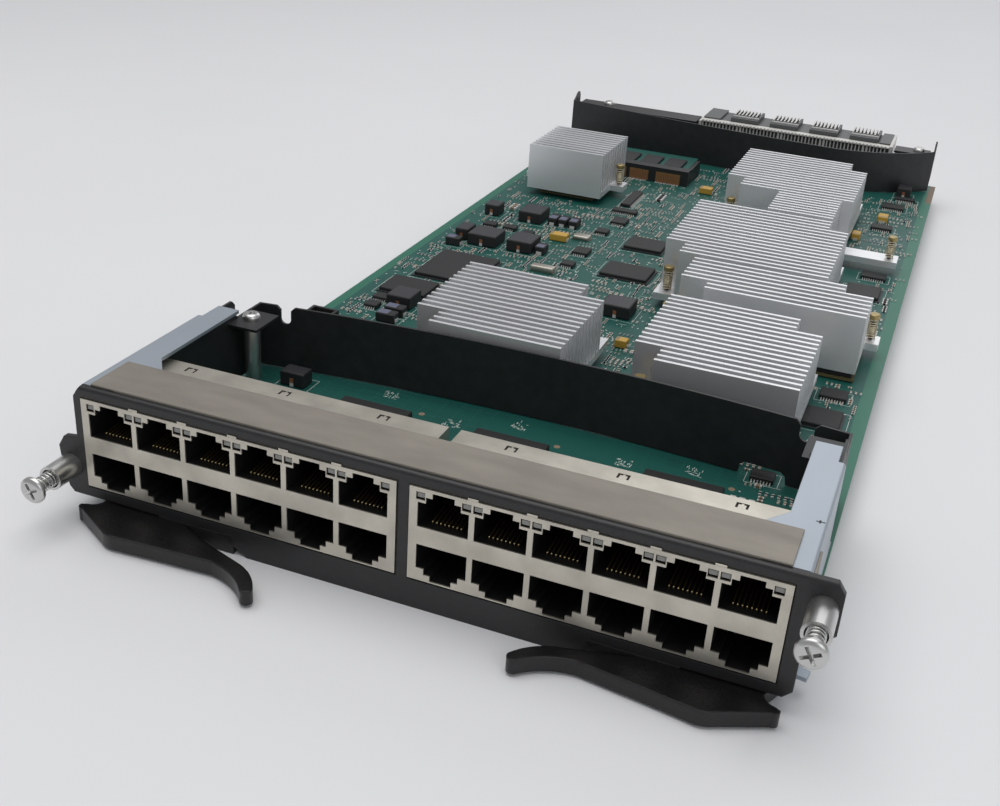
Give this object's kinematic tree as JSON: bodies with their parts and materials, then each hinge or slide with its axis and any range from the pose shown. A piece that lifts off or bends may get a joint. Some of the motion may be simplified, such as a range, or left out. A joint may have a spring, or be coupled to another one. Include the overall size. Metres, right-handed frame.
{
  "type": "network switch line card",
  "caption": "Network switch line card: stacked modular jacks behind a black panel with ejector levers and captive screws, finned heatsinks and air baffles on a green board, backplane plug.",
  "frame": {"origin": "back face of the front panel, midway between the two jack blocks, level with the top face of the board", "axes": "+Z out of the board's component side, +Y from the front panel towards the backplane plug, +X towards the right lever seen from the front"},
  "size_m": [0.1953, 0.4517, 0.0371],
  "materials": {
    "board_green": "solder mask over glass fibre laminate, satin",
    "panel_black": "black powder coat",
    "lever_black": "moulded, satin",
    "zinc": "zinc-plated sheet",
    "shield": "nickel-plated sheet",
    "jack_black": "moulded",
    "contact_gold": "gold-plated wire",
    "light_clear": "clear light pipe",
    "gasket": "conductive cloth over foam",
    "baffle_black": "thin sheet",
    "stiffener_black": "black coat",
    "steel": "plated steel",
    "sink_aluminium": "mill finish",
    "pin_brass": "turned brass",
    "package_dark": "moulded epoxy",
    "pad_grey": "soft thermal pad",
    "tantalum": "moulded",
    "can_steel": "metal can",
    "plug_grey": "moulded",
    "plug_plate": "plated sheet"
  },
  "bodies": {
    "card": {"bracket_left": "zinc", "bracket_right": "zinc", "captive_sleeve_left": "steel", "captive_sleeve_right": "steel", "captive_spring_left": "steel", "captive_spring_right": "steel", "crystal_and_oscillator": "can_steel", "flat_packages": "package_dark", "front_baffle": "baffle_black", "front_panel": "panel_black", "header_pins": "contact_gold", "header_shell": "package_dark", "heatsink_centre_right": "sink_aluminium", "heatsink_centre_wide": "sink_aluminium", "heatsink_front_left": "sink_aluminium", "heatsink_front_right": "sink_aluminium", "heatsink_rear_left": "sink_aluminium", "heatsink_rear_right": "sink_aluminium", "heatsink_rear_small": "sink_aluminium", "jack_contacts": "contact_gold", "jack_housing_left": "jack_black", "jack_housing_right": "jack_black", "jack_shield_left": "shield", "jack_shield_right": "shield", "leaded_chips": "package_dark", "lever_mounts": "zinc", "lever_rivets": "steel", "line_transformers": "package_dark", "main_board": "board_green", "memory_board": "board_green", "memory_chips": "package_dark", "memory_socket": "package_dark", "plug_end_plates": "plug_plate", "plug_housings": "plug_grey", "plug_wafers": "plug_grey", "polymer_capacitors": "package_dark", "port_lights": "light_clear", "power_inductors": "package_dark", "processors": "package_dark", "push_pin_springs": "steel", "push_pins": "pin_brass", "rear_baffle": "baffle_black", "rear_stiffener_left": "stiffener_black", "rear_stiffener_right": "stiffener_black", "shield_gasket": "gasket", "side_gaskets": "gasket", "standoff_screws": "steel", "standoffs": "steel", "tantalum_capacitors": "tantalum", "thermal_pads": "pad_grey", "underside_screws": "steel"},
    "lever_left": {"lever_left": "lever_black", "lever_jaw_left": "zinc"},
    "lever_right": {"lever_right": "lever_black", "lever_jaw_right": "zinc"},
    "captive_slide_left": {"captive_clip_left": "steel"},
    "captive_slide_right": {"captive_clip_right": "steel"},
    "captive_turn_left": {"captive_screw_left": "steel"},
    "captive_turn_right": {"captive_screw_right": "steel"}
  },
  "joints": [
    {"name": "lever_left_hinge", "type": "hinge", "parent": "card", "child": "lever_left", "pos_m": [-0.0822, 0.0045, -0.0057], "axis": [0, 0, -1], "range_deg": [-7, 35]},
    {"name": "lever_right_hinge", "type": "hinge", "parent": "card", "child": "lever_right", "pos_m": [0.0852, 0.0045, -0.0057], "axis": [0, 0, 1], "range_deg": [-2, 40]},
    {"name": "captive_left_push", "type": "slide", "parent": "card", "child": "captive_slide_left", "axis": [0, 1, 0], "range_m": [0, 0.0053], "stiffness_N_per_m": 300, "springref_m": -0.004, "deforming": ["captive_spring_left"]},
    {"name": "captive_left_turn", "type": "hinge", "parent": "captive_slide_left", "child": "captive_turn_left", "pos_m": [-0.0934, 0, 0.0047], "axis": [0, 1, 0], "continuous": true},
    {"name": "captive_right_push", "type": "slide", "parent": "card", "child": "captive_slide_right", "axis": [0, 1, 0], "range_m": [0, 0.0053], "stiffness_N_per_m": 300, "springref_m": -0.004, "deforming": ["captive_spring_right"]},
    {"name": "captive_right_turn", "type": "hinge", "parent": "captive_slide_right", "child": "captive_turn_right", "pos_m": [0.0947, 0, 0.0212], "axis": [0, 1, 0], "continuous": true}
  ]
}
